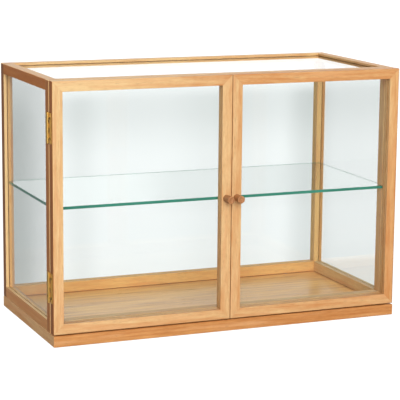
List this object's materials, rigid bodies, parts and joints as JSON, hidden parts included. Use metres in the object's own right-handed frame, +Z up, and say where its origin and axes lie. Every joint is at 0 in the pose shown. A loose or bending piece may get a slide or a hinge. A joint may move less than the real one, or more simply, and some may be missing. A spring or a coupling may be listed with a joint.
{
  "type": "display cabinet",
  "caption": "Oak framed glass display cabinet on a low plinth, with hinged glass doors, dowel knobs, a glass shelf and a wooden floor.",
  "frame": {"origin": "on the floor, under the middle of the cabinet measured over the knobs and the hinge barrels", "axes": "+X to the right along the width, -Y towards the viewer (doors in front), +Z up"},
  "size_m": [0.6384, 0.321, 0.44],
  "materials": {
    "oak": "matt oiled oak",
    "floor_oak": "matt oak veneer",
    "knob_wood": "turned and oiled, redder than the frame",
    "joint_wood": "plain beech",
    "glass": "clear float glass",
    "brass": "polished brass",
    "steel": "zinc plated steel",
    "nickel": "nickel plated"
  },
  "bodies": {
    "carcass": {"back_glass": "glass", "back_left_post": "oak", "back_right_post": "oak", "bottom_back_rail": "oak", "bottom_front_rail": "oak", "bottom_left_rail": "oak", "bottom_right_rail": "oak", "catch_magnets": "nickel", "floor_panel": "floor_oak", "frame_dowels": "joint_wood", "front_left_post": "oak", "front_right_post": "oak", "glass_shelf": "glass", "left_carcass_hinge_screws": "brass", "left_glass": "glass", "left_lower_hinge_carcass_leaf": "brass", "left_lower_hinge_pin": "brass", "left_upper_hinge_carcass_leaf": "brass", "left_upper_hinge_pin": "brass", "plinth_back": "oak", "plinth_front": "oak", "plinth_left": "oak", "plinth_right": "oak", "plinth_screws": "steel", "right_carcass_hinge_screws": "brass", "right_glass": "glass", "right_lower_hinge_carcass_leaf": "brass", "right_lower_hinge_pin": "brass", "right_upper_hinge_carcass_leaf": "brass", "right_upper_hinge_pin": "brass", "top_back_rail": "oak", "top_front_rail": "oak", "top_glass": "glass", "top_left_rail": "oak", "top_right_rail": "oak"},
    "left_door": {"left_door_bottom_rail": "oak", "left_door_glass": "glass", "left_door_hinge_screws": "brass", "left_door_hinge_stile": "oak", "left_door_meeting_stile": "oak", "left_door_splines": "joint_wood", "left_door_strike_discs": "nickel", "left_door_top_rail": "oak", "left_knob": "knob_wood", "left_knob_screw": "steel", "left_lower_hinge_door_leaf": "brass", "left_upper_hinge_door_leaf": "brass"},
    "right_door": {"right_door_bottom_rail": "oak", "right_door_glass": "glass", "right_door_hinge_screws": "brass", "right_door_hinge_stile": "oak", "right_door_meeting_stile": "oak", "right_door_splines": "joint_wood", "right_door_strike_discs": "nickel", "right_door_top_rail": "oak", "right_knob": "knob_wood", "right_knob_screw": "steel", "right_lower_hinge_door_leaf": "brass", "right_upper_hinge_door_leaf": "brass"}
  },
  "joints": [
    {"name": "left_door_hinge", "type": "hinge", "parent": "carcass", "child": "left_door", "pos_m": [-0.3171, -0.12075, 0.2305], "axis": [0, 0, -1], "range_deg": [0, 180]},
    {"name": "right_door_hinge", "type": "hinge", "parent": "carcass", "child": "right_door", "pos_m": [0.3171, -0.12075, 0.2305], "axis": [0, 0, 1], "range_deg": [0, 180]}
  ]
}
